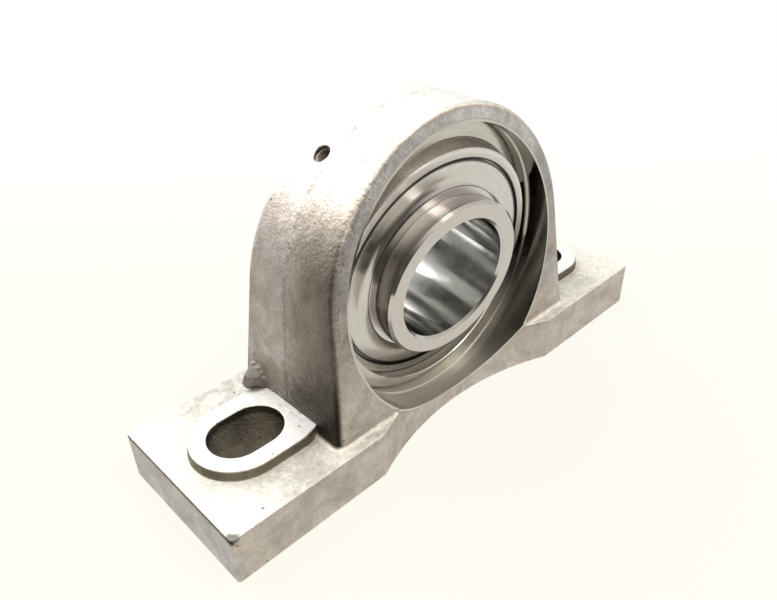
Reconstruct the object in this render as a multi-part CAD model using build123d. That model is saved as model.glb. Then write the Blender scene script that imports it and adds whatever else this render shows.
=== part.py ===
from build123d import *
import os
from math import cos, radians, sin, sqrt, tan

os.makedirs("parts", exist_ok=True)

# Self-aligning pillow block bearing for a 40 mm shaft.
# Origin: centre of the base's underside, on the foundation. +X along the base, +Z up.
# The near side, with the plain end of the inner ring, faces -Y. Millimetres.
# The shaft's size drives the insert, the insert drives the housing round it.

# Inner ring
BORE_RADIUS = 20.0
RING_WALL = 6.0
NEAR_LENGTH = 19.0          # from the ball row to the plain end
FAR_LENGTH = 30.2           # and to the set-screw end
RING_CHAMFER = 0.8

# Ball row
BALLS = 9
BALL_RADIUS = 5.95
BALL_OVER_RING = 4.0        # ball row's circle outside the inner ring's surface
RUNNING_GAP = 0.05
RACE_OPENING = 0.25         # raceway groove's radius over the ball's

# Outer ring
SHOULDER_OVER_PITCH = 3.8
OUTSIDE_OVER_PITCH = 10.0
SEAL_RECESS_DEPTH = 3.2     # from the side face in to the seal's shoulder
SEAL_RECESS_STEP = 1.7      # and outwards from the shoulder's edge
OUTER_CHAMFER = 0.3
OIL_GROOVE_WIDTH = 2.2
OIL_GROOVE_DEPTH = 0.6
OIL_HOLE_RADIUS = 0.9
OIL_HOLES = 2

# Cage, of two pressed halves riveted together
CAGE_HALF_DEPTH = 2.0       # radially, each side of the ball row's circle
CAGE_SHEET = 0.8
CAGE_TO_SEAL = 0.45
POCKET_GAP = 0.1
RIVET_RADIUS = 0.8
RIVET_HEAD = 1.4
RIVET_HEAD_HEIGHT = 0.5

# Seals
CORE_SHEET = 0.7
CORE_OVER_RING = 2.6        # bore of the steel core outside the inner ring's surface
CORE_FLANGE = 0.9
LIP_BOND = 1.1              # overlap of rubber and core
LIP_NECK = 1.3
LIP_WIDTH = 1.4
LIP_EDGE = 0.5
LIP_GAP = 0.05

# Slingers
SLINGER_SHEET = 1.0
SLINGER_GAP = 0.5           # round its rim
SLINGER_SUNK = 0.3          # below the outer ring's side face
FLARE_WIDTH = 4.5           # from the inner ring out to where the flat part starts
FLARE_WALL = 1.2            # thickness left where it ends on the ring
FLARE_RISE = 1.2

# Set screws, M8 x 1
SCREWS = 2
SCREW_FROM_END = 8.0
SCREW_HOLE_RADIUS = 3.5
SCREW_FIT = 0.04            # thread's root inside the hole
SCREW_PROUD = 1.3
SCREW_TIP_GAP = 0.3         # tip clear of the bore
SCREW_CUP = 1.6
SCREW_SOCKET = 4.0          # across flats
SCREW_SOCKET_DEPTH = 4.0
SCREW_CHAMFER = 0.5
SCREW_SPACING = 120.0       # degrees
SCREW_START = 30.0

# How the insert sits in its seat
LEAN_DOWN = 7.2             # degrees, near end turned down
LEAN_LEFT = 4.0             # and towards the left foot
SEAT_FIT = 0.04             # radial

# Housing: machined inside
SEAT_MARGIN = 0.1           # spherical seat past each side of the outer ring
SEAT_BREAK = 0.35
COVER_STEP = 3.96           # counterbore for a snap-in end cover, outside the seat
GROOVE_DEPTH = 0.5          # cover groove behind it
GROOVE_WIDTH = 4.0
GROOVE_CORNER = 0.5
LOADING_DEPTH = 3.2         # slots that let the insert in sideways, outside the outer ring
LOADING_ROOM = 7.0          # their width over the outer ring's
LUBE_TAP_RADIUS = 2.625     # M6 x 0.75
LUBE_TAP_DEPTH = 6.5
LUBE_DUCT_RADIUS = 1.5
LUBE_COUNTERSINK = 0.3
LUBE_ANGLE = 36.8           # degrees from the top, towards the left foot
LUBE_OFFSET = 5.2           # from the mid plane, towards the far side

# Housing: arch
ARCH_WALL = 5.6             # over the end-cover counterbore
FLOOR_UNDER_GROOVE = 4.7
COVER_LIP = 0.33            # left in front of the cover groove, at the top of the arch
FACE_DRAFT = 6.0            # degrees
SIDE_DRAFT = 6.0
ARCH_EDGE = 2.1
FOOT_FILLET = 1.8
STUB_RADIUS = 3.1           # gate stub left on the casting, over the left pad's far corner
STUB_OUT = 0.4              # its centre outside the foot of the arch's side
STUB_IN = 7.4               # inside the arch's far face
STUB_UP = 4.8               # over the base

# Housing: base, slots for M14 bolts and the pads round them
BASE_HEIGHT = 16.0
BASE_LEDGE = 3.9            # in front of and behind the arch
BASE_END = 23.5             # bolt centre to the end of the base
BASE_CORNER = 1.0
BASE_EDGE = 0.6
SLOT_WIDTH = 17.0
SLOT_LENGTH = 23.0
SLOT_FROM_ARCH = 3.637
SLOT_RIM = 0.5
PAD_HEIGHT = 3.2
PAD_SIDE_RIM = 6.3          # foot of the pad outside the slot's long sides
PAD_END_RIM = 5.6           # and outside its outer end
PAD_ROUND_START = 6.1       # from the arch's side to where the pad's inner end starts to round
PAD_TAPER = 12.0            # degrees
PAD_EDGE = 0.4
WAIST_DEPTH = 8.4           # hollow in the base's long sides
WAIST_RADIUS = 100.0
WAIST_OVER_BASE = 6.0

TOUCH = 0.01                # two faces closer than this are the same


# Insert, worked out from the sizes above
RING_RADIUS = BORE_RADIUS + RING_WALL
PITCH_RADIUS = RING_RADIUS + BALL_OVER_RING
SHOULDER_RADIUS = PITCH_RADIUS + SHOULDER_OVER_PITCH
OUTER_RADIUS = PITCH_RADIUS + OUTSIDE_OVER_PITCH
SEAL_SEAT_RADIUS = SHOULDER_RADIUS + SEAL_RECESS_STEP
GROOVE_ARC = BALL_RADIUS + RACE_OPENING
POCKET_RADIUS = BALL_RADIUS + POCKET_GAP
SEAL_SEAT = POCKET_RADIUS + CAGE_SHEET + CAGE_TO_SEAL
OUTER_HALF = SEAL_SEAT + SEAL_RECESS_DEPTH
OUTER_EDGE = sqrt(OUTER_RADIUS ** 2 - OUTER_HALF ** 2)
CORE_INNER = RING_RADIUS + CORE_OVER_RING
SLINGER_RADIUS = SEAL_SEAT_RADIUS - SLINGER_GAP
SLINGER_FACE = OUTER_HALF - SLINGER_SUNK
FLARE_RADIUS = RING_RADIUS + FLARE_WIDTH
HUB_RADIUS = RING_RADIUS + FLARE_WALL
HUB_END = SLINGER_FACE + FLARE_RISE
SCREW_AT = FAR_LENGTH - SCREW_FROM_END
BALL_STEP = 360.0 / BALLS

# Housing, worked out round the insert
SEAT_RADIUS = OUTER_RADIUS + SEAT_FIT
SEAT_HALF = OUTER_HALF + SEAT_MARGIN
SEAT_EDGE = sqrt(SEAT_RADIUS ** 2 - SEAT_HALF ** 2)
COVER_RADIUS = SEAT_RADIUS + COVER_STEP
GROOVE_RADIUS = COVER_RADIUS + GROOVE_DEPTH
GROOVE_END = SEAT_HALF + GROOVE_WIDTH
LOADING_RADIUS = OUTER_RADIUS + LOADING_DEPTH
LOADING_WIDTH = 2 * OUTER_HALF + LOADING_ROOM
ARCH_RADIUS = COVER_RADIUS + ARCH_WALL
CENTRE_HEIGHT = GROOVE_RADIUS + FLOOR_UNDER_GROOVE
FACE_LEAN = tan(radians(FACE_DRAFT))
SIDE_LEAN = tan(radians(SIDE_DRAFT))
ARCH_TOP = CENTRE_HEIGHT + ARCH_RADIUS
ARCH_FOOT_HALF = GROOVE_END + COVER_LIP + (CENTRE_HEIGHT + GROOVE_RADIUS - BASE_HEIGHT) * FACE_LEAN
SIDE_MEET_X = ARCH_RADIUS * cos(radians(SIDE_DRAFT))
SIDE_MEET_Z = CENTRE_HEIGHT + ARCH_RADIUS * sin(radians(SIDE_DRAFT))
ARCH_FOOT_X = SIDE_MEET_X + (SIDE_MEET_Z - BASE_HEIGHT) * SIDE_LEAN
BASE_HALF = ARCH_FOOT_HALF + BASE_LEDGE
BOLT_X = ARCH_FOOT_X + SLOT_FROM_ARCH + SLOT_LENGTH / 2
BASE_END_X = BOLT_X + BASE_END
PAD_HALF_WIDTH = SLOT_WIDTH / 2 + PAD_SIDE_RIM
PAD_TOP = BASE_HEIGHT + PAD_HEIGHT
REACH = 2 * BASE_END_X + ARCH_TOP
IN_SEAT = Pos(0, 0, CENTRE_HEIGHT) * Rot(0, 0, -LEAN_LEFT) * Rot(LEAN_DOWN, 0, 0)


def turned(outline):
    """Solid of revolution about Y from an outline drawn as radius, distance along Y."""
    return revolve(make_face(outline), Axis.Y)


def turned_corners(*corners):
    """The same from straight-sided corners."""
    return turned(Polyline(*corners, close=True))


def spaced(shape, angle):
    """The shape turned about the bearing axis."""
    return Rot(0, angle, 0) * shape


# ---- housing ----

def arch_body():
    """The upright of the casting: a round-headed arch, drafted on its sides and faces."""
    low_x = ARCH_FOOT_X + BASE_HEIGHT * SIDE_LEAN
    head = ThreePointArc((SIDE_MEET_X, SIDE_MEET_Z), (0, ARCH_TOP), (-SIDE_MEET_X, SIDE_MEET_Z))
    legs = Polyline((-SIDE_MEET_X, SIDE_MEET_Z), (-low_x, 0), (low_x, 0), (SIDE_MEET_X, SIDE_MEET_Z))
    front_view = extrude(Plane.XZ * make_face(head + legs), amount=REACH, both=True)

    low_y = ARCH_FOOT_HALF + BASE_HEIGHT * FACE_LEAN
    high_y = ARCH_FOOT_HALF - (ARCH_TOP - BASE_HEIGHT) * FACE_LEAN
    wedge = Polyline((-low_y, 0), (low_y, 0), (high_y, ARCH_TOP), (-high_y, ARCH_TOP), close=True)
    side_view = extrude(Plane.YZ * make_face(wedge), amount=REACH, both=True)

    def on_rim(edge):
        box = edge.bounding_box()
        return box.max.Z > TOUCH and box.size.X > TOUCH
    body = front_view & side_view
    return fillet([e for e in body.edges() if on_rim(e)], ARCH_EDGE)


def base_body():
    plate = extrude(RectangleRounded(2 * BASE_END_X, 2 * BASE_HALF, BASE_CORNER), amount=BASE_HEIGHT)
    return fillet(plate.edges().group_by(Axis.Z)[-1], BASE_EDGE)


def blended(body):
    """Fillet round the foot of the arch, where it stands on the base."""
    def at_foot(edge):
        box = edge.bounding_box()
        level = abs(box.min.Z - BASE_HEIGHT) < TOUCH and box.size.Z < TOUCH
        inside_y = max(abs(box.min.Y), abs(box.max.Y)) < BASE_HALF - BASE_EDGE - TOUCH
        inside_x = max(abs(box.min.X), abs(box.max.X)) < BASE_END_X - BASE_CORNER
        return level and inside_y and inside_x
    return fillet([e for e in body.edges() if at_foot(e)], FOOT_FILLET)


def pad(side):
    """Raised boss round one slot, running into the side of the arch."""
    out_x = side * (BOLT_X + SLOT_LENGTH / 2 + PAD_END_RIM - PAD_HALF_WIDTH)
    in_x = side * (ARCH_FOOT_X + PAD_ROUND_START)
    straight = Pos((out_x + in_x) / 2, 0) * Rectangle(abs(out_x - in_x), 2 * PAD_HALF_WIDTH)
    outline = straight + Pos(out_x, 0) * Circle(PAD_HALF_WIDTH) + Pos(in_x, 0) * Circle(PAD_HALF_WIDTH)
    boss = extrude(outline, amount=PAD_HEIGHT, taper=PAD_TAPER)
    boss = fillet(boss.edges().group_by(Axis.Z)[-1], PAD_EDGE)
    return Pos(0, 0, BASE_HEIGHT) * boss


def bolt_slot(side):
    slot = extrude(SlotOverall(SLOT_LENGTH, SLOT_WIDTH), amount=PAD_TOP)
    return Pos(side * BOLT_X, 0, 0) * slot


def rounded_rims(body):
    """Upper rims of both bolt slots, rounded over."""
    def on_rim(edge):
        box = edge.bounding_box()
        level = abs(box.min.Z - PAD_TOP) < TOUCH and box.size.Z < TOUCH
        return level and max(abs(box.min.Y), abs(box.max.Y)) < SLOT_WIDTH / 2 + TOUCH
    return fillet([e for e in body.edges() if on_rim(e)], SLOT_RIM)


def waist(side):
    """Shallow hollow in one long side of the base, under the bearing."""
    centre_y = side * (BASE_HALF - WAIST_DEPTH + WAIST_RADIUS)
    return Pos(0, centre_y, 0) * extrude(Circle(WAIST_RADIUS), amount=BASE_HEIGHT + WAIST_OVER_BASE)


def machined_inside():
    """All that is turned out of the arch: seat, flat shoulders, cover grooves and counterbores."""
    break_y = -SEAT_HALF + SEAT_BREAK
    break_r = sqrt(SEAT_RADIUS ** 2 - break_y ** 2)
    near = Polyline(
        (0, -BASE_HALF),
        (COVER_RADIUS, -BASE_HALF),
        (COVER_RADIUS, -GROOVE_END),
        (GROOVE_RADIUS, -GROOVE_END),
        (GROOVE_RADIUS, -SEAT_HALF - GROOVE_CORNER),
        (GROOVE_RADIUS - GROOVE_CORNER, -SEAT_HALF),
        (SEAT_EDGE + SEAT_BREAK, -SEAT_HALF),
        (break_r, break_y),
    )
    seat = ThreePointArc((break_r, break_y), (SEAT_RADIUS, 0), (break_r, -break_y))
    far = mirror(near, Plane.XZ)
    closing = Line((0, -BASE_HALF), (0, BASE_HALF))
    return Pos(0, 0, CENTRE_HEIGHT) * turned(near + seat + far + closing)


def loading_slots():
    """Pair of slots on the near side that let the insert in when it is turned crosswise."""
    disc = Rot(90, 0, 0) * extrude(Circle(LOADING_RADIUS), amount=SEAT_HALF)
    slab = Box(2 * REACH, 2 * REACH, LOADING_WIDTH)
    return Pos(0, 0, CENTRE_HEIGHT) * (disc & slab)


def lube_hole():
    """Tapped hole for a lubrication fitting, with a narrow duct on into the seat."""
    upright = (Align.CENTER, Align.CENTER, Align.MIN)
    duct = Pos(0, 0, SEAT_RADIUS / 2) * extrude(Circle(LUBE_DUCT_RADIUS), amount=REACH)
    tap = Pos(0, 0, ARCH_RADIUS - LUBE_TAP_DEPTH) * extrude(Circle(LUBE_TAP_RADIUS), amount=REACH)
    sink_depth = 2 * LUBE_COUNTERSINK
    sink = Cone(LUBE_TAP_RADIUS, LUBE_TAP_RADIUS + sink_depth, sink_depth, align=upright)
    drilled = duct + tap + Pos(0, 0, ARCH_RADIUS - LUBE_COUNTERSINK) * sink
    return Pos(0, LUBE_OFFSET, CENTRE_HEIGHT) * Rot(0, -LUBE_ANGLE, 0) * drilled


def gate_stub():
    place = Pos(-ARCH_FOOT_X - STUB_OUT, ARCH_FOOT_HALF - STUB_IN, BASE_HEIGHT + STUB_UP)
    return place * Rot(0, 90, 0) * Sphere(STUB_RADIUS)


def housing():
    body = blended(base_body() + arch_body())
    for side in (-1, 1):
        body += pad(side)
    body += gate_stub()
    for side in (-1, 1):
        body -= bolt_slot(side)
    body = rounded_rims(body)
    for side in (-1, 1):
        body -= waist(side)
    body -= machined_inside()
    body -= loading_slots()
    body -= lube_hole()
    return body


# ---- insert, drawn on its own centre with the near side at -Y ----

def outer_ring():
    race_centre = PITCH_RADIUS + BALL_RADIUS + RUNNING_GAP - GROOVE_ARC
    race_edge = sqrt(GROOVE_ARC ** 2 - (SHOULDER_RADIUS - race_centre) ** 2)
    back_y = OUTER_HALF - OUTER_CHAMFER
    side_r = sqrt(OUTER_RADIUS ** 2 - back_y ** 2)
    outside = ThreePointArc((side_r, -back_y), (OUTER_RADIUS, 0), (side_r, back_y))
    far = Polyline(
        (side_r, back_y),
        (OUTER_EDGE - OUTER_CHAMFER, OUTER_HALF),
        (SEAL_SEAT_RADIUS, OUTER_HALF),
        (SEAL_SEAT_RADIUS, SEAL_SEAT),
        (SHOULDER_RADIUS, SEAL_SEAT),
        (SHOULDER_RADIUS, race_edge),
    )
    race_floor = (race_centre + GROOVE_ARC, 0)
    race = ThreePointArc((SHOULDER_RADIUS, race_edge), race_floor, (SHOULDER_RADIUS, -race_edge))
    ring = turned(outside + far + race + mirror(far, Plane.XZ))

    low = LUBE_OFFSET - OIL_GROOVE_WIDTH / 2
    high = LUBE_OFFSET + OIL_GROOVE_WIDTH / 2
    floor = sqrt(OUTER_RADIUS ** 2 - LUBE_OFFSET ** 2) - OIL_GROOVE_DEPTH
    ring -= turned_corners((floor, low), (floor, high), (REACH, high), (REACH, low))
    for n in range(OIL_HOLES):
        hole = Pos(0, LUBE_OFFSET, 0) * extrude(Circle(OIL_HOLE_RADIUS), amount=REACH)
        ring -= spaced(hole, n * 360 / OIL_HOLES)
    return ring


def screw_angle(n):
    return SCREW_START + n * SCREW_SPACING


def inner_ring():
    race_centre = PITCH_RADIUS - BALL_RADIUS - RUNNING_GAP + GROOVE_ARC
    race_edge = sqrt(GROOVE_ARC ** 2 - (race_centre - RING_RADIUS) ** 2)
    race_floor = (race_centre - GROOVE_ARC, 0)
    race = ThreePointArc((RING_RADIUS, -race_edge), race_floor, (RING_RADIUS, race_edge))
    rest = Polyline(
        (RING_RADIUS, race_edge),
        (RING_RADIUS, FAR_LENGTH - RING_CHAMFER),
        (RING_RADIUS - RING_CHAMFER, FAR_LENGTH),
        (BORE_RADIUS + RING_CHAMFER, FAR_LENGTH),
        (BORE_RADIUS, FAR_LENGTH - RING_CHAMFER),
        (BORE_RADIUS, -NEAR_LENGTH + RING_CHAMFER),
        (BORE_RADIUS + RING_CHAMFER, -NEAR_LENGTH),
        (RING_RADIUS - RING_CHAMFER, -NEAR_LENGTH),
        (RING_RADIUS, -NEAR_LENGTH + RING_CHAMFER),
        (RING_RADIUS, -race_edge),
    )
    ring = turned(race + rest)
    for n in range(SCREWS):
        hole = Pos(0, SCREW_AT, 0) * extrude(Circle(SCREW_HOLE_RADIUS), amount=REACH)
        ring -= spaced(hole, screw_angle(n))
    return ring


def ball(n):
    return spaced(Pos(0, 0, PITCH_RADIUS) * Sphere(BALL_RADIUS), n * BALL_STEP)


def cage_half(side):
    """One pressed half: a flat ring between the balls, cupped over each of them."""
    inner = PITCH_RADIUS - CAGE_HALF_DEPTH
    outer = PITCH_RADIUS + CAGE_HALF_DEPTH
    deep = side * 2 * POCKET_RADIUS
    sheet = side * CAGE_SHEET
    band = turned_corners((inner, 0), (outer, 0), (outer, deep), (inner, deep))
    half = turned_corners((inner, 0), (outer, 0), (outer, sheet), (inner, sheet))
    cup = Pos(0, 0, PITCH_RADIUS) * Sphere(POCKET_RADIUS + CAGE_SHEET)
    hollow = Pos(0, 0, PITCH_RADIUS) * Sphere(POCKET_RADIUS)
    rivet_hole = Pos(0, 0, PITCH_RADIUS) * Rot(90, 0, 0) * Cylinder(RIVET_RADIUS, 4 * CAGE_SHEET)
    for n in range(BALLS):
        half += spaced(cup, n * BALL_STEP) & band
    for n in range(BALLS):
        half -= spaced(hollow, n * BALL_STEP)
        half -= spaced(rivet_hole, (n + 0.5) * BALL_STEP)
    return half


def cage_rivets():
    head_y = CAGE_SHEET + RIVET_HEAD_HEIGHT
    outline = (
        (0, -head_y),
        (RIVET_HEAD, -head_y),
        (RIVET_HEAD, -CAGE_SHEET),
        (RIVET_RADIUS, -CAGE_SHEET),
        (RIVET_RADIUS, CAGE_SHEET),
        (RIVET_HEAD, CAGE_SHEET),
        (RIVET_HEAD, head_y),
        (0, head_y),
    )
    rivet = Pos(0, 0, PITCH_RADIUS) * turned_corners(*outline)
    return Compound([spaced(rivet, (n + 0.5) * BALL_STEP) for n in range(BALLS)])


def seal_core(side):
    """Pressed steel washer of one seal, with the flange that holds it in the outer ring."""
    back = side * SEAL_SEAT
    front = side * (SEAL_SEAT + CORE_SHEET)
    flange = side * (SEAL_SEAT + CORE_SHEET + CORE_FLANGE)
    return turned_corners(
        (CORE_INNER, back),
        (SEAL_SEAT_RADIUS, back),
        (SEAL_SEAT_RADIUS, flange),
        (SEAL_SEAT_RADIUS - CORE_SHEET, flange),
        (SEAL_SEAT_RADIUS - CORE_SHEET, front),
        (CORE_INNER, front),
    )


def seal_lip(side):
    """Rubber bonded round the core's inner edge, thinning to a lip on the inner ring."""
    middle = SEAL_SEAT + CORE_SHEET / 2
    back = side * (middle - LIP_WIDTH / 2)
    front = side * (middle + LIP_WIDTH / 2)
    neck = RING_RADIUS + LIP_NECK
    rubber = turned_corners(
        (CORE_INNER + LIP_BOND, back),
        (CORE_INNER + LIP_BOND, front),
        (neck, front),
        (RING_RADIUS + LIP_GAP, front),
        (RING_RADIUS + LIP_GAP, front - side * LIP_EDGE),
        (neck, back),
    )
    return rubber - seal_core(side)


def slinger(side):
    """Stamped disc that turns with the inner ring; its inner rim flares out along the ring."""
    face = side * SLINGER_FACE
    rear = side * (SLINGER_FACE - SLINGER_SHEET)
    end = side * HUB_END
    rim_rear = side * (HUB_END - SLINGER_SHEET - FLARE_WALL / 2)
    outline = TangentArc((FLARE_RADIUS, face), (HUB_RADIUS, end), tangent=(-1, 0))
    outline += Polyline((HUB_RADIUS, end), (RING_RADIUS, end), (RING_RADIUS, rim_rear))
    outline += TangentArc((FLARE_RADIUS, rear), (RING_RADIUS, rim_rear), tangent=(-1, 0))
    flat = ((FLARE_RADIUS, rear), (SLINGER_RADIUS, rear), (SLINGER_RADIUS, face), (FLARE_RADIUS, face))
    return turned(outline + Polyline(*flat))


def set_screw(n):
    """Socket set screw with a cup point, backed off so that the bore is clear."""
    upright = (Align.CENTER, Align.CENTER, Align.MIN)
    length = RING_WALL - SCREW_TIP_GAP + SCREW_PROUD
    body = Cylinder(SCREW_HOLE_RADIUS - SCREW_FIT, length, align=upright)
    body = chamfer(body.edges().group_by(Axis.Z)[0] + body.edges().group_by(Axis.Z)[-1], SCREW_CHAMFER)
    body -= Cone(SCREW_CUP, 0, SCREW_CUP / 2, align=upright)
    socket = RegularPolygon(SCREW_SOCKET / 2, 6, major_radius=False)
    body -= Pos(0, 0, length - SCREW_SOCKET_DEPTH) * extrude(socket, amount=SCREW_SOCKET_DEPTH)
    seated = Pos(0, SCREW_AT, BORE_RADIUS + SCREW_TIP_GAP) * body
    return spaced(seated, screw_angle(n))


export_step(housing(), "parts/housing.step")

insert = {
    "outer_ring": outer_ring(),
    "inner_ring": inner_ring(),
    "cage_near": cage_half(-1),
    "cage_far": cage_half(1),
    "cage_rivets": cage_rivets(),
    "seal_core_near": seal_core(-1),
    "seal_core_far": seal_core(1),
    "seal_lip_near": seal_lip(-1),
    "seal_lip_far": seal_lip(1),
    "slinger_near": slinger(-1),
    "slinger_far": slinger(1),
}
for n in range(SCREWS):
    insert[f"set_screw_{n + 1}"] = set_screw(n)
for n in range(BALLS):
    insert[f"ball_{n + 1}"] = ball(n)

for node, shape in insert.items():
    export_step(IN_SEAT * shape, f"parts/{node}.step")
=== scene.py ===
from math import cos, exp, hypot, pi, radians, sin
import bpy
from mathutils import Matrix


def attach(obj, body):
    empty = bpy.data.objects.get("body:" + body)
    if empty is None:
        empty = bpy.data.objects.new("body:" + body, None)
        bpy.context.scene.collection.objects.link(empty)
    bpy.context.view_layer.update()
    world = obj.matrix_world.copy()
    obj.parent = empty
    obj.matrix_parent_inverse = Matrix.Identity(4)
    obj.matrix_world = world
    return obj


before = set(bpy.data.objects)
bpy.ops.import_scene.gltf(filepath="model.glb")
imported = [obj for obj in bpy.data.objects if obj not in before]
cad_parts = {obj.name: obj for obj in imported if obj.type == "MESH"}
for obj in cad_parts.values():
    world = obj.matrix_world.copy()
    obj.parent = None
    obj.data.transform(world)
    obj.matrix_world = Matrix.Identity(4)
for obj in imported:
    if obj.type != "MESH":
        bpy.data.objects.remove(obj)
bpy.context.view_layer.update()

from types import SimpleNamespace

import bmesh
import bpy
from mathutils import Matrix, Vector, noise

# A self-aligning pillow block bearing in cast stainless steel. The scene is in metres, Z up.
# The part's own sizes, in mm. The materials also work in mm, from the bearing's centre.
MM = 0.001
CENTRE_HEIGHT = 49.2
LEAN_DOWN, LEAN_LEFT = 7.2, 4.0             # the insert's lean in its seat, in degrees
INSERT_TURN = (radians(LEAN_DOWN), 0, radians(-LEAN_LEFT))
BASE_HALF_LENGTH, BASE_HALF_WIDTH, BASE_HEIGHT = 92.0, 27.0, 16.0
PAD_TOP = 19.2
SLOT_CENTRE, SLOT_HALF_STRAIGHT, SLOT_RADIUS = 68.5, 3.0, 8.5
ARCH_RADIUS = 49.6
SIDE_FOOT_X, SIDE_LEAN = 52.94, 0.1051      # the arch's side wall 20 mm up, and its slope
COVER_GROOVE_RADIUS = 44.5
BORE_RADIUS = 20.0
SEAL_RECESS_RADIUS = 35.5
LUBE_ANGLE, LUBE_OFFSET, LUBE_TAP_RADIUS = 36.8, 5.2, 2.625
THREAD_FOOT, THREAD_TOP = 43.4, 49.2
THREAD_PITCH, THREAD_DEPTH, THREAD_STEPS = 0.75, 0.42, 32
THREAD_SUNK, THREAD_FLANK, THREAD_CREST = 0.08, 0.36, 0.05
STUB_Y, STUB_HEIGHT = 15.7, 20.8
PARTING_Y = 1.5

# Colours of bare metal, as what it reflects.
CAST = (0.62, 0.555, 0.505)
COOL_CAST = (0.575, 0.555, 0.545)
# Painted light: the low tops' paler tint.
SCRUBBED_CAST = (0.60, 0.595, 0.555)
SCALE_CAST = (0.62, 0.53835, 0.4242)
MACHINED_CAST = (0.52, 0.50, 0.455)
STEEL = (0.68, 0.645, 0.615)
BORE_STEEL = (0.65, 0.65, 0.63)
STAMPED_STEEL = (0.60, 0.575, 0.55)
CAGE_STEEL = (0.46, 0.45, 0.43)
BALL_STEEL = (0.62, 0.61, 0.6)
SCREW_STEEL = (0.3, 0.29, 0.28)
RUBBER = (0.02, 0.02, 0.021)


# ---- node helpers ----

class Tree:
    """Short calls for the nodes of a tree. A value may be a number or a socket."""

    def __init__(self, tree):
        self.nodes = tree.nodes
        self.links = tree.links

    def put(self, socket, value):
        if isinstance(value, bpy.types.NodeSocket):
            self.links.new(value, socket)
        else:
            socket.default_value = value

    def node(self, kind, values=(), **settings):
        made = self.nodes.new(kind)
        for key, value in settings.items():
            setattr(made, key, value)
        for key, value in dict(values).items():
            self.put(made.inputs[key], value)
        return made

    def math(self, operation, *values):
        made = self.node("ShaderNodeMath", operation=operation)
        for socket, value in zip(made.inputs, values):
            self.put(socket, value)
        return made.outputs[0]

    def chain(self, operation, first, *others):
        result = first
        for value in others:
            result = self.math(operation, result, value)
        return result

    def plus(self, *values):
        return self.chain("ADD", *values)

    def times(self, *values):
        return self.chain("MULTIPLY", *values)

    def most(self, *values):
        return self.chain("MAXIMUM", *values)

    def less(self, value, mask, share=1.0):
        """The value, less that share of it where the mask is 1."""
        return self.times(value, self.math("SUBTRACT", 1.0, self.times(mask, share)))

    def more(self, value, mask, share=1.0):
        """The value, and that share of it again where the mask is 1."""
        return self.times(value, self.plus(1.0, self.times(mask, share)))

    def ramp(self, value, low, high, to_low=0.0, to_high=1.0):
        """A smooth step of the value from low to high."""
        made = self.node("ShaderNodeMapRange", interpolation_type="SMOOTHSTEP")
        for key, number in zip(("Value", "From Min", "From Max", "To Min", "To Max"),
                               (value, low, high, to_low, to_high)):
            self.put(made.inputs[key], number)
        return made.outputs["Result"]

    def noise(self, place, scale, detail=2.0, rough=0.5, distortion=0.0):
        values = {"Vector": place, "Scale": scale, "Detail": detail, "Roughness": rough,
                  "Distortion": distortion}
        return self.node("ShaderNodeTexNoise", values).outputs["Fac"]

    def cells(self, place, scale):
        values = {"Vector": place, "Scale": scale}
        return self.node("ShaderNodeTexVoronoi", values).outputs["Distance"]

    def blend(self, share, first, second):
        made = self.node("ShaderNodeMix", data_type="RGBA")
        self.put(made.inputs["Factor"], share)
        for key, value in (("A", first), ("B", second)):
            socket = [s for s in made.inputs if s.name == key and s.type == "RGBA"][0]
            self.put(socket, value + (1.0,) if isinstance(value, tuple) else value)
        return [s for s in made.outputs if s.type == "RGBA"][0]

    def tone(self, colour, factor):
        """The colour times a factor that varies over the surface."""
        made = self.node("ShaderNodeVectorMath", {0: colour, "Scale": factor}, operation="SCALE")
        return made.outputs[0]

    def vector(self, x, y, z):
        return self.node("ShaderNodeCombineXYZ", {"X": x, "Y": y, "Z": z}).outputs[0]

    def split(self, vector):
        return self.node("ShaderNodeSeparateXYZ", {"Vector": vector}).outputs

    def light_path(self, ray):
        return self.node("ShaderNodeLightPath").outputs[ray]


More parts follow.
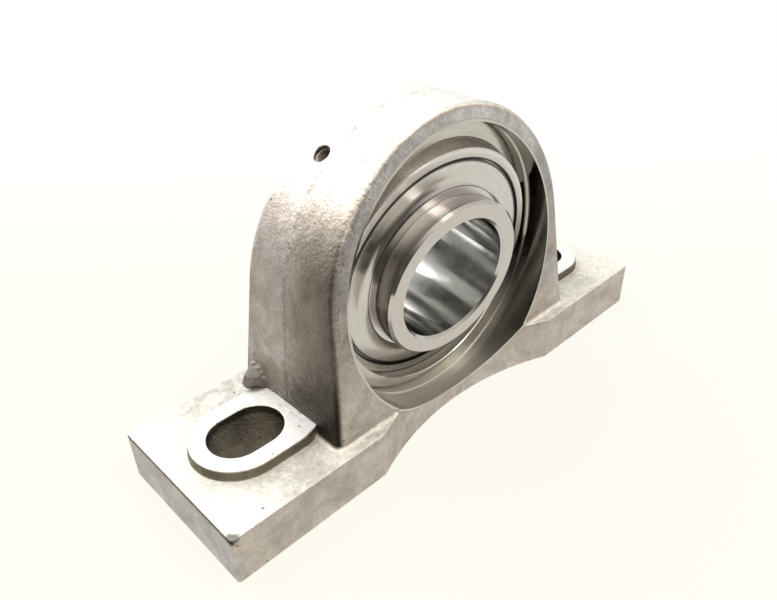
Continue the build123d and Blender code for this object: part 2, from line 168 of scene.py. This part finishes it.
class Shading(Tree):
    """A material on one shader."""

    def __init__(self, name, metallic=1.0):
        self.material = bpy.data.materials.new(name)
        self.material.use_nodes = True
        super().__init__(self.material.node_tree)
        self.shader = self.nodes["Principled BSDF"]
        self.shader.inputs["Metallic"].default_value = metallic

    def place(self, leaning=False):
        """Millimetres from the bearing's centre, turned with the insert where it leans."""
        source = self.node("ShaderNodeTexCoord").outputs["Object"]
        made = self.node("ShaderNodeMapping", {"Vector": source}, vector_type="TEXTURE")
        made.inputs["Location"].default_value = (0, 0, CENTRE_HEIGHT * MM)
        if leaning:
            made.inputs["Rotation"].default_value = INSERT_TURN
        made.inputs["Scale"].default_value = (MM, MM, MM)
        return made.outputs[0]

    def round_place(self, place):
        """Distance from the bearing's axis, angle round it and distance along it."""
        x, y, z = self.split(place)
        square = self.plus(self.times(x, x), self.times(z, z))
        return self.math("SQRT", square), self.math("ARCTAN2", z, x), y

    def away_from(self, place, point):
        made = self.node("ShaderNodeVectorMath", {0: place, 1: point}, operation="DISTANCE")
        return made.outputs["Value"]

    def turned(self, place, grain):
        """Fine turning or grinding marks round the insert's axis, which smear what the metal
        mirrors across them."""
        x, y, z = self.split(place)
        lean = self.node("ShaderNodeMapping", {"Vector": self.vector(z, 0.0, self.times(x, -1.0))},
                         vector_type="VECTOR")
        lean.inputs["Rotation"].default_value = INSERT_TURN
        out = self.node("ShaderNodeVectorTransform", {"Vector": lean.outputs[0]},
                        vector_type="VECTOR", convert_from="OBJECT", convert_to="WORLD")
        way = self.node("ShaderNodeVectorMath", {0: out.outputs[0]}, operation="NORMALIZE")
        self.put(self.shader.inputs["Tangent"], way.outputs[0])
        self.shader.inputs["Anisotropic"].default_value = grain
        self.shader.inputs["Anisotropic Rotation"].default_value = 0.25

    def ring_marks(self, r, along, angle, close, wander):
        """Noise drawn out round the axis: rings close together that wander little."""
        marks = self.vector(self.times(r, close), self.times(along, close),
                            self.times(angle, wander))
        return self.noise(marks, 1.0, 3.0, 0.6)

    def finish(self, colour, roughness, height=None):
        """Height is in mm."""
        self.put(self.shader.inputs["Base Color"], colour)
        self.put(self.shader.inputs["Roughness"], roughness)
        if height is not None:
            bump = self.node("ShaderNodeBump",
                             {"Height": height, "Distance": MM, "Strength": 1.0})
            self.put(self.shader.inputs["Normal"], bump.outputs[0])
        return self.material


# ---- the housing's cast skin ----

def cast_place(s):
    """Where a point of the casting is, which way it faces, and the casting's grain there."""
    at = SimpleNamespace(p=s.place())
    at.x, at.y, at.z = s.split(at.p)
    at.r, at.angle, at.along = s.round_place(at.p)
    at.nx, at.ny, at.nz = s.split(s.node("ShaderNodeTexCoord").outputs["Normal"])
    at.height_up = s.plus(at.z, CENTRE_HEIGHT)
    at.out_x = s.math("ABSOLUTE", at.x)
    at.face_on = s.math("ABSOLUTE", at.ny)
    # Scales are per mm.
    at.grit = s.noise(at.p, 3.2, 2.0, 0.6)
    at.sand = s.noise(at.p, 1.25, 3.0, 0.55)
    at.lumps = s.noise(at.p, 0.3, 3.0, 0.55)
    at.clouds = s.noise(at.p, 0.11, 4.0, 0.6, 0.6)
    at.stains = s.noise(at.p, 0.32, 3.0, 0.6, 1.2)
    at.ragged = s.math("SUBTRACT", s.noise(at.p, 0.7, 3.0, 0.6), 0.5)
    # The linished faces' strokes run across the rim.
    at.strokes = s.noise(s.vector(s.times(at.angle, 30.0), s.times(at.r, 0.35), 0.0),
                         1.0, 4.0, 0.65)
    return at


def cast_masks(s, at):
    """The casting's regions, each 1 inside and 0 outside."""
    m = SimpleNamespace()

    def rag(value, reach):
        return s.plus(value, s.times(at.ragged, reach))

    # The machined counterbores and seat.
    m.inside = s.ramp(at.r, COVER_GROOVE_RADIUS + 0.45, COVER_GROOVE_RADIUS + 0.25)
    m.pits = s.ramp(s.cells(at.p, 0.16), 0.075, 0.045)
    # Painted light: low up-facing surfaces are painted pale, as lit from above; walls keep the
    # grey as-cast skin.
    m.level_top = s.ramp(at.nz, 0.7, 0.95)
    m.scrubbed = s.times(m.level_top, s.ramp(at.height_up, 25.0, 21.0))
    # The arch's flat faces were linished.
    m.flat = s.times(s.ramp(rag(at.face_on, 0.1), 0.93, 0.975), s.ramp(at.z, -30.0, -24.0))
    # The bolt slots' walls, painted darker as shade.
    slot_x = s.math("ABSOLUTE", s.math("SUBTRACT", at.out_x, SLOT_CENTRE))
    slot_x = s.most(s.math("SUBTRACT", slot_x, SLOT_HALF_STRAIGHT), 0.0)
    slot_away = s.math("SQRT", s.plus(s.times(slot_x, slot_x), s.times(at.y, at.y)))
    m.slot = s.times(s.ramp(slot_away, SLOT_RADIUS + 0.7, SLOT_RADIUS + 0.2),
                     s.ramp(at.height_up, PAD_TOP - 0.2, PAD_TOP - 0.6))
    # Painted shade in the corner where the arch's sides meet the base, with brown scale there.
    above_base = s.ramp(at.height_up, BASE_HEIGHT + 0.2, BASE_HEIGHT + 1.2)
    wall = s.times(s.ramp(s.math("ABSOLUTE", at.nx), 0.4, 0.85), s.ramp(at.out_x, 58.0, 55.0))
    reach = s.plus(rag(at.height_up, 12.0), s.times(s.plus(at.y, 10.0), 0.35))
    m.foot = s.times(s.ramp(reach, 42.0, 19.0), wall, above_base)
    # Painted shade, tinted brown as scale, down the arch's sides towards their edges, darkest on
    # the rounded corners.
    rim = s.ramp(at.r, ARCH_RADIUS - 0.6, ARCH_RADIUS - 0.3)
    corner = s.times(s.ramp(s.math("ABSOLUTE", at.y), 19.0, 21.5), s.ramp(at.face_on, 0.97, 0.9),
                     s.ramp(at.out_x, 44.0, 47.0), s.ramp(at.nz, 0.5, 0.2), above_base)
    band = s.times(s.ramp(rag(at.y, 8.0), 7.0, -9.0), wall)
    m.band = s.times(s.plus(s.times(band, 0.62), s.times(corner, 0.4)),
                     s.ramp(rag(at.z, 8.0), 42.0, 20.0), rim)
    # Painted shade on the same walls close to their near edge, and on the outer parts of the
    # arch's flat faces.
    m.brim = s.times(wall, s.ramp(at.y, -9.0, -18.0), s.ramp(at.z, 42.0, 20.0))
    m.limb = s.times(m.flat, s.ramp(at.out_x, 34.0, 45.0), s.ramp(at.z, -28.0, -8.0))
    # Painted shade on the pads' low sides; a rusty line along the tops of the base's ends, and the
    # grey strip between the pads and the base's long edges.
    m.pad_side = s.times(s.ramp(at.height_up, PAD_TOP - 0.1, PAD_TOP - 0.7),
                         s.ramp(at.height_up, BASE_HEIGHT - 0.1, BASE_HEIGHT + 0.6),
                         s.ramp(at.nz, 0.6, 0.2), s.ramp(at.out_x, 54.5, 56.0))
    m.end_line = s.times(s.ramp(rag(at.height_up, 1.0), BASE_HEIGHT - 1.7, BASE_HEIGHT - 1.0),
                         s.ramp(at.out_x, BASE_HALF_LENGTH - 1.0, BASE_HALF_LENGTH - 0.5),
                         s.ramp(at.nz, 0.9, 0.6))
    m.end_face = s.ramp(at.out_x, BASE_HALF_LENGTH - 0.7, BASE_HALF_LENGTH - 0.2)
    m.strip = s.times(s.ramp(rag(at.out_x, 14.0), 82.0, 68.0), s.ramp(at.nz, 0.8, 0.95),
                      s.ramp(at.height_up, BASE_HEIGHT + 0.6, BASE_HEIGHT + 0.3))
    # A notch at the near left corner of the base.
    notch = s.away_from(at.p, (0.6 - BASE_HALF_LENGTH, 0.4 - BASE_HALF_WIDTH,
                               BASE_HEIGHT - CENTRE_HEIGHT))
    m.notch = s.ramp(rag(notch, 2.0), 2.6, 1.4)
    # The lubrication hole's tapped wall, painted darker as shade, and the gate's broken face.
    lean = radians(LUBE_ANGLE)
    hole = s.away_from(at.p, (-sin(lean) * ARCH_RADIUS, LUBE_OFFSET, cos(lean) * ARCH_RADIUS))
    m.hole = s.times(s.ramp(hole, 9.0, 8.0), s.ramp(at.r, ARCH_RADIUS - 0.25, ARCH_RADIUS - 0.45),
                     s.ramp(at.r, 40.5, 41.0))
    m.gate = s.ramp(s.away_from(at.p, (-54.5, STUB_Y, STUB_HEIGHT - CENTRE_HEIGHT)), 6.0, 3.5)
    # Painted light: faces turned up, bar the gate, are painted lighter than the walls.
    m.top = s.less(s.ramp(at.nz, 0.25, 0.85), m.gate)
    # The mould's parting line, a low broken ridge round the arch.
    split = s.math("ABSOLUTE", rag(s.math("SUBTRACT", at.y, PARTING_Y), 3.0))
    m.split = s.times(s.ramp(split, 0.9, 0.2), rim, s.ramp(at.z, -32.0, -28.0),
                      s.ramp(at.stains, 0.4, 0.55))
    # Edges painted bright, a painted highlight that is partly rubbed wear, where a rounded normal
    # parts from the true one.
    softened = s.node("ShaderNodeBevel", {"Radius": 0.7 * MM}, samples=6).outputs["Normal"]
    sharp = s.node("ShaderNodeNewGeometry").outputs["Normal"]
    turn = s.node("ShaderNodeVectorMath", {0: softened, 1: sharp}, operation="DOT_PRODUCT")
    m.edge = s.ramp(rag(turn.outputs["Value"], 0.1), 0.99, 0.93)
    return m


def cast_colour(s, at, m):
    shade = s.plus(s.ramp(at.clouds, 0.3, 0.7, 0.86, 1.12),
                   s.ramp(at.stains, 0.3, 0.75, 0.07, -0.07))
    # Painted light: the low tops are evened out and pushed pale, as lit from above.
    even = s.less(s.times(m.scrubbed, 0.65), m.strip)
    shade = s.plus(shade, s.times(even, s.math("SUBTRACT", 1.05, shade)))
    shade = s.times(shade, s.ramp(at.sand, 0.25, 0.75, 0.9, 1.08))
    # Painted light: faces turned up are painted lighter, most on and above the pads' tops.
    pale = s.ramp(at.height_up, PAD_TOP - 0.4, PAD_TOP - 0.2, 0.76, 1.05)
    shade = s.times(shade, s.plus(0.84, s.times(m.top, pale)))
    # Painted shade: the arch's foot, sides and near edges, the flat faces' outer parts, the slots,
    # pad sides and hole. Pits, rust line, strip, parting line, notch and gate are the casting's
    # own marks.
    for mask, share in ((m.pits, 0.6), (m.foot, 0.72), (m.band, 0.8), (m.slot, 0.7),
                        (m.pad_side, 0.66), (m.end_line, 0.65), (m.hole, 0.55),
                        (m.strip, 0.1), (m.split, 0.22), (m.notch, 0.6), (m.limb, 0.2),
                        (m.brim, 0.3), (m.gate, 0.35)):
        shade = s.less(shade, mask, share)
    # Painted light: the flat faces brighter higher up, and the edges, partly rubbed wear; the
    # strokes are linishing.
    for mask, share in ((m.flat, s.ramp(at.z, 20.0, 42.0, 0.0, 0.2)),
                        (m.flat, s.ramp(at.strokes, 0.3, 0.7, -0.06, 0.12)), (m.edge, 0.35)):
        shade = s.more(shade, mask, share)
    # Bluish patches and faces, and a brown scale tint in the painted-shade corners and on the rust
    # line.
    patches = s.ramp(s.noise(at.p, 0.055, 2.0, 0.5), 0.5, 0.66, 0.0, 0.7)
    cool = s.most(patches, m.end_face, s.ramp(at.nz, 0.6, 0.95, 0.0, 0.7),
                  s.times(m.flat, s.ramp(at.z, -10.0, 25.0)), s.times(m.strip, 0.6))
    scale = s.most(s.times(m.foot, 0.6), m.band, m.slot, m.end_line, m.pad_side)
    hue = s.blend(cool, CAST, COOL_CAST)
    # Painted light: the low tops take a paler tint.
    hue = s.blend(s.times(m.scrubbed, 0.8), hue, SCRUBBED_CAST)
    hue = s.blend(scale, hue, SCALE_CAST)
    return s.tone(hue, shade)


def cast_stainless():
    s = Shading("cast_stainless_look")
    at = cast_place(s)
    m = cast_masks(s, at)

    turning = s.ring_marks(at.r, at.along, at.angle, 3.0, 3.0)
    # The counterbore's wall faces the axis; painted shade darkens it, most on the right.
    facing_axis = s.math("DIVIDE", s.plus(s.times(at.nx, at.x), s.times(at.nz, at.z)), at.r)
    cover_wall = s.times(s.ramp(facing_axis, -0.6, -0.9), s.ramp(at.r, 42.5, 43.5))
    worn = s.less(s.ramp(turning, 0.3, 0.7, 0.9, 1.1), cover_wall,
                  s.ramp(at.x, 6.0, 22.0, -0.08, 0.55))
    colour = s.blend(m.inside, cast_colour(s, at, m), s.tone(MACHINED_CAST, worn))

    calm = s.most(m.flat, m.scrubbed, s.ramp(at.nz, 0.7, 0.97, 0.0, 0.75))
    height = s.less(s.plus(s.times(at.sand, 0.26), s.times(at.grit, 0.06)), calm, 0.6)
    height = s.plus(height, s.times(at.lumps, 0.45), s.times(at.strokes, 0.05, m.flat),
                    s.times(m.split, 0.12), s.times(m.pits, -0.15))
    height = s.plus(s.less(height, m.inside), s.times(turning, 0.008, m.inside))
    roughness = s.plus(s.ramp(at.clouds, 0.3, 0.7, 0.54, 0.42), s.times(m.inside, -0.3),
                       s.times(m.edge, -0.1), s.times(m.level_top, 0.28))
    return s.finish(colour, roughness, height)


# ---- the insert's materials ----

def ground_steel():
    s = Shading("ground_steel_look")
    p = s.place(leaning=True)
    r, angle, along = s.round_place(p)
    s.turned(p, 0.85)
    lines = s.ring_marks(r, along, angle, 4.0, 5.0)
    smears = s.noise(p, 0.2, 3.0, 0.6)
    bore = s.ramp(r, BORE_RADIUS + 0.3, BORE_RADIUS + 0.1)
    outer = s.ramp(r, 33.0, 34.0)
    # Painted shade in the gap round the slinger's rim; painted light brightens the outer ring
    # outside the seal's recess.
    gap = s.times(s.ramp(r, SEAL_RECESS_RADIUS - 1.1, SEAL_RECESS_RADIUS - 0.8),
                  s.ramp(r, SEAL_RECESS_RADIUS + 0.6, SEAL_RECESS_RADIUS + 0.3))
    level = s.plus(0.82, s.times(bore, 0.06),
                   s.ramp(r, SEAL_RECESS_RADIUS + 1.0, SEAL_RECESS_RADIUS + 2.5, 0.0, 0.2))
    level = s.less(level, gap, 0.93)
    hue = s.blend(bore, STEEL, BORE_STEEL)
    colour = s.tone(hue, s.times(s.ramp(lines, 0.25, 0.75, 0.94, 1.05), level))
    roughness = s.plus(s.ramp(smears, 0.3, 0.7, 0.12, 0.17), s.times(outer, 0.12))
    return s.finish(colour, roughness, s.times(lines, 0.002))


def stamped_steel():
    s = Shading("stamped_steel_look")
    p = s.place(leaning=True)
    r, angle, along = s.round_place(p)
    s.turned(p, 0.5)
    lines = s.ring_marks(r, along, angle, 3.0, 6.0)
    # Painted shade darkens the slinger's rim and the fold at its hub.
    rim = s.ramp(r, 34.3, 34.6)
    fold = s.times(s.ramp(r, 27.25, 27.4), s.ramp(r, 27.7, 27.55))
    level = s.less(s.ramp(lines, 0.25, 0.75, 0.94, 1.05), rim, 0.8)
    level = s.less(level, fold, 0.7)
    roughness = s.ramp(s.noise(p, 0.3, 3.0), 0.3, 0.7, 0.16, 0.24)
    return s.finish(s.tone(STAMPED_STEEL, level), roughness, s.times(lines, 0.005))


def plain_metal(name, tint, smooth, dull, grain):
    s = Shading(name)
    marks = s.noise(s.place(leaning=True), grain, 4.0, 0.6)
    return s.finish(s.tone(tint, s.ramp(marks, 0.3, 0.7, 0.88, 1.08)),
                    s.ramp(marks, 0.3, 0.7, smooth, dull), s.times(marks, 0.01))


def seal_rubber():
    s = Shading("seal_rubber_look", metallic=0.0)
    grain = s.noise(s.place(leaning=True), 3.0, 3.0, 0.6)
    return s.finish(s.tone(RUBBER, s.ramp(grain, 0.3, 0.7, 0.8, 1.2)),
                    s.ramp(grain, 0.3, 0.7, 0.5, 0.65), s.times(grain, 0.02))


LOOKS = {
    "cast_stainless": cast_stainless(),
    "ground_steel": ground_steel(),
    "stamped_steel": stamped_steel(),
    "cage_steel": plain_metal("cage_steel_look", CAGE_STEEL, 0.3, 0.42, 1.2),
    "ball_steel": plain_metal("ball_steel_look", BALL_STEEL, 0.04, 0.08, 0.6),
    "screw_steel": plain_metal("screw_steel_look", SCREW_STEEL, 0.3, 0.4, 2.0),
    "seal_rubber": seal_rubber(),
}
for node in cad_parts.values():
    for material_slot in node.material_slots:
        name = material_slot.material.name.split(".")[0]
        material_slot.material = LOOKS[name]


# ---- added pieces ----

def piece(name, points, faces, body, slot):
    mesh = bpy.data.meshes.new(name)
    mesh.from_pydata([Vector(q) * MM for q in points], [], faces)
    mesh.validate()
    shape = bmesh.new()
    shape.from_mesh(mesh)
    bmesh.ops.recalc_face_normals(shape, faces=shape.faces)
    shape.to_mesh(mesh)
    shape.free()
    for face in mesh.polygons:
        face.use_smooth = True
    mesh.materials.append(LOOKS[slot])
    made = bpy.data.objects.new(name, mesh)
    bpy.context.scene.collection.objects.link(made)
    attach(made, body)
    return made


def lube_thread():
    """The tapped hole's thread: one ridge wound down its wall, run out at both ends."""
    lean = radians(LUBE_ANGLE)
    out = Vector((-sin(lean), 0, cos(lean)))
    across, side = Vector((0, 1, 0)), Vector((cos(lean), 0, sin(lean)))
    start = Vector((0, LUBE_OFFSET, CENTRE_HEIGHT))
    steps = int((THREAD_TOP - THREAD_FOOT) / THREAD_PITCH) * THREAD_STEPS
    root = LUBE_TAP_RADIUS + THREAD_SUNK
    points = []
    for step in range(steps + 1):
        a = 2 * pi * step / THREAD_STEPS
        at = THREAD_FOOT + THREAD_PITCH * step / THREAD_STEPS
        run_out = min(min(step, steps - step) / (THREAD_STEPS * 0.5), 1.0)
        crest = LUBE_TAP_RADIUS - THREAD_DEPTH * run_out
        away = across * cos(a) + side * sin(a)
        points += [start + away * far + out * (at + shift)
                   for far, shift in ((root, -THREAD_FLANK), (crest, -THREAD_CREST),
                                      (crest, THREAD_CREST), (root, THREAD_FLANK))]
    wide = 4
    faces = [(i * wide + j, i * wide + (j + 1) % wide,
              (i + 1) * wide + (j + 1) % wide, (i + 1) * wide + j)
             for i in range(steps) for j in range(wide)]
    faces += [tuple(range(wide)), tuple(range(len(points) - 1, len(points) - 1 - wide, -1))]
    return piece("lube_thread", points, faces, "housing", "cast_stainless")


def gate_scar():
    """The knocked-off gate: a pored lump run into the arch's side, with a low ridge above it."""
    rows, columns = 62, 54
    up_step, along_step = 0.3, 0.26
    points = []
    for i in range(rows):
        up = 15.6 + up_step * i
        for j in range(columns):
            along = 6.4 + along_step * j
            swell = 4.25 * exp(-(hypot(along - STUB_Y, up - STUB_HEIGHT) / 3.7) ** 3)
            ridge_y = STUB_Y + 0.8 + 0.12 * (up - STUB_HEIGHT)
            ridge = 0.75 * exp(-((along - ridge_y) / 1.5) ** 2)
            ridge *= min(max((32.0 - up) / 6.0, 0.0), 1.0)
            q = Vector((0.0, along, up))
            lumps = noise.noise(q * 0.55) * 0.5 + noise.noise(q * 1.3 + Vector((7, 0, 0))) * 0.25
            pore = max(noise.noise(q * 1.05 + Vector((0, 3, 5))) - 0.32, 0.0) * 2.4
            raised = swell + ridge
            raised += lumps * min(raised, 1.0) - pore * min(raised, 0.5)
            # The piece's border dips into the wall.
            edge = min(i * up_step, (rows - 1 - i) * up_step,
                       j * along_step, (columns - 1 - j) * along_step)
            raised = (raised + 0.06) * min(edge / 2.0, 1.0) - 0.25 * max(1.0 - edge / 1.2, 0.0)
            points.append((-(SIDE_FOOT_X - (up - 20.0) * SIDE_LEAN) - raised, along, up))
    faces = [(k, k + 1, k + columns + 1, k + columns)
             for i in range(rows - 1) for k in range(i * columns, (i + 1) * columns - 1)]
    return piece("gate_scar", points, faces, "housing", "cast_stainless")


lube_thread()
gate_scar()


# ---- floor and its reflections ----

def flat_sheet(name, corners, material):
    mesh = bpy.data.meshes.new(name)
    mesh.from_pydata(corners, [], [tuple(range(len(corners)))])
    mesh.materials.append(material)
    made = bpy.data.objects.new(name, mesh)
    bpy.context.scene.collection.objects.link(made)
    return made


def floor_look():
    """White paper. The camera and the metal see it lit up to white, less a share that keeps
    the shadow."""
    s = Shading("pale_floor", metallic=0.0)
    s.nodes.remove(s.shader)
    where = s.split(s.node("ShaderNodeTexCoord").outputs["Object"])
    depth = s.plus(s.times(where["X"], 0.69), s.times(where["Y"], 0.73))
    tint = s.blend(s.ramp(depth, -0.12, 0.3), (1.0, 0.985, 0.88), (0.99, 0.995, 1.0))
    seen = s.most(s.light_path("Is Camera Ray"), s.light_path("Is Glossy Ray"))
    glow = s.node("ShaderNodeEmission", {"Color": tint, "Strength": 1.0}).outputs[0]
    paper = s.node("ShaderNodeBsdfDiffuse", {"Color": (0.9, 0.885, 0.85, 1)}).outputs[0]
    mix = s.node("ShaderNodeMixShader", {0: s.times(seen, 0.88), 1: paper, 2: glow})
    s.put(s.nodes["Material Output"].inputs["Surface"], mix.outputs[0])
    return s.material


def dark_cloth(name, first, last, near, far):
    """A dark sheet over a sector of the floor, which only the metal sees: painted shade in its
    reflections.
    """
    there = range(first, last + 1, 5)
    back_again = range(last, first - 1, -5)
    corners = [(sin(radians(a)) * r, cos(radians(a)) * r, 0.002)
               for r, angles in ((near, there), (far, back_again)) for a in angles]
    cloth = flat_sheet(name, corners, CLOTH)
    cloth.visible_camera = False
    cloth.visible_shadow = False
    cloth.visible_diffuse = False


FLOOR_HALF = 4.0
flat_sheet("floor", [(-FLOOR_HALF, -FLOOR_HALF, 0), (FLOOR_HALF, -FLOOR_HALF, 0),
                     (FLOOR_HALF, FLOOR_HALF, 0), (-FLOOR_HALF, FLOOR_HALF, 0)], floor_look())

# Sectors in degrees clockwise from straight behind, and radii in metres.
# Painted shade: dark sheets that only the metal sees, darkening what it reflects.
CLOTH = Shading("dark_cloth", metallic=0.0).finish((0.05, 0.047, 0.04, 1), 0.9)
dark_cloth("dark_side", -210, -70, 0.14, 3.5)
dark_cloth("dark_behind", -45, 5, 0.05, 0.14)
dark_cloth("dark_right", 45, 75, 0.15, 3.5)


# ---- light ----

def studio():
    """A soft room, bright above and behind, dark low down and in one corner. The camera sees
    it white."""
    world = bpy.data.worlds.new("studio")
    world.use_nodes = True
    sky = Tree(world.node_tree)
    way = sky.split(sky.node("ShaderNodeTexCoord").outputs["Generated"])
    level = sky.math("SQRT", sky.math("SUBTRACT", 1.0001, sky.times(way["Z"], way["Z"])))

    def along(azimuth):
        """How far a direction of the sky runs towards that azimuth, clockwise from behind."""
        a = radians(azimuth)
        return sky.plus(sky.times(way["X"], sin(a)), sky.times(way["Y"], cos(a)))

    def facing(azimuth):
        """The same for the direction's compass bearing alone."""
        return sky.math("DIVIDE", along(azimuth), level)

    room = sky.times(sky.ramp(way["Z"], 0.2, 0.85, 0.1, 1.6),
                     sky.ramp(along(20), 0.1, 0.45, 1.0, 0.4))
    corner = sky.times(sky.ramp(facing(66), 0.72, 0.88), sky.ramp(way["Z"], 0.95, 0.8))
    room = sky.math("SUBTRACT", room, sky.times(corner, sky.math("SUBTRACT", room, 0.15)))
    window = sky.times(sky.ramp(facing(0), 0.68, 0.86), sky.ramp(way["Z"], 0.95, 0.72), 1.9)
    side = sky.times(sky.ramp(facing(125), 0.55, 0.95), 0.85, sky.ramp(way["Z"], 0.95, 0.6))
    strength = sky.most(room, side, window)
    warmth = sky.blend(sky.ramp(facing(27), -0.3, 0.5), (1.0, 0.955, 0.87), (1.0, 0.995, 0.98))
    camera_ray = sky.light_path("Is Camera Ray")
    background = sky.nodes["Background"]
    sky.put(background.inputs["Color"], sky.blend(camera_ray, warmth, (1.0, 1.0, 1.0)))
    sky.put(background.inputs["Strength"], sky.plus(sky.less(strength, camera_ray), camera_ray))
    return world


def soft_light(name, azimuth, elevation, width, height, radiance, colour=(1, 1, 1)):
    """A lamp 1.2 m off, aimed at the bearing."""
    a, e = radians(azimuth), radians(elevation)
    place = Vector((sin(a) * cos(e), cos(a) * cos(e), sin(e))) * 1.2
    lamp = bpy.data.lights.new(name, "AREA")
    lamp.shape = "RECTANGLE"
    lamp.size = width
    lamp.size_y = height
    lamp.energy = radiance * pi * width * height
    lamp.color = colour
    made = bpy.data.objects.new(name, lamp)
    bpy.context.scene.collection.objects.link(made)
    made.location = place
    made.rotation_mode = "QUATERNION"
    made.rotation_quaternion = (Vector((0, 0, 0.05)) - place).to_track_quat("-Z", "Y")
    made.visible_camera = False


bpy.context.scene.world = studio()
soft_light("front_lamp", 163, 53, 0.3, 0.55, 2.4, (1.0, 0.985, 0.95))
soft_light("back_strip", -33, 52, 0.12, 0.5, 7.0)


# ---- camera, where the photograph was taken from ----

AZIMUTH, ELEVATION, ROLL = -43.32, 32.94, -1.62
CAMERA_AT = Vector((-139.93, -136.09, 157.58)) * MM
turn, lift, roll = radians(AZIMUTH), radians(ELEVATION), radians(ROLL)
back = Vector((sin(turn) * cos(lift), -cos(turn) * cos(lift), sin(lift)))
right = (-back).cross(Vector((0, 0, 1))).normalized()
up = right.cross(-back)
rolled_right = right * cos(roll) + up * sin(roll)
rolled_up = up * cos(roll) - right * sin(roll)
lens = bpy.data.cameras.new("camera")
lens.sensor_width = 36.0
lens.lens = 32.70
lens.clip_start = 0.01
lens.clip_end = 100.0
camera = bpy.data.objects.new("camera", lens)
bpy.context.scene.collection.objects.link(camera)
axes = Matrix((rolled_right, rolled_up, back)).transposed().to_4x4()
camera.matrix_world = Matrix.Translation(CAMERA_AT) @ axes
bpy.context.scene.camera = camera

bpy.context.scene.view_settings.view_transform = "Standard"
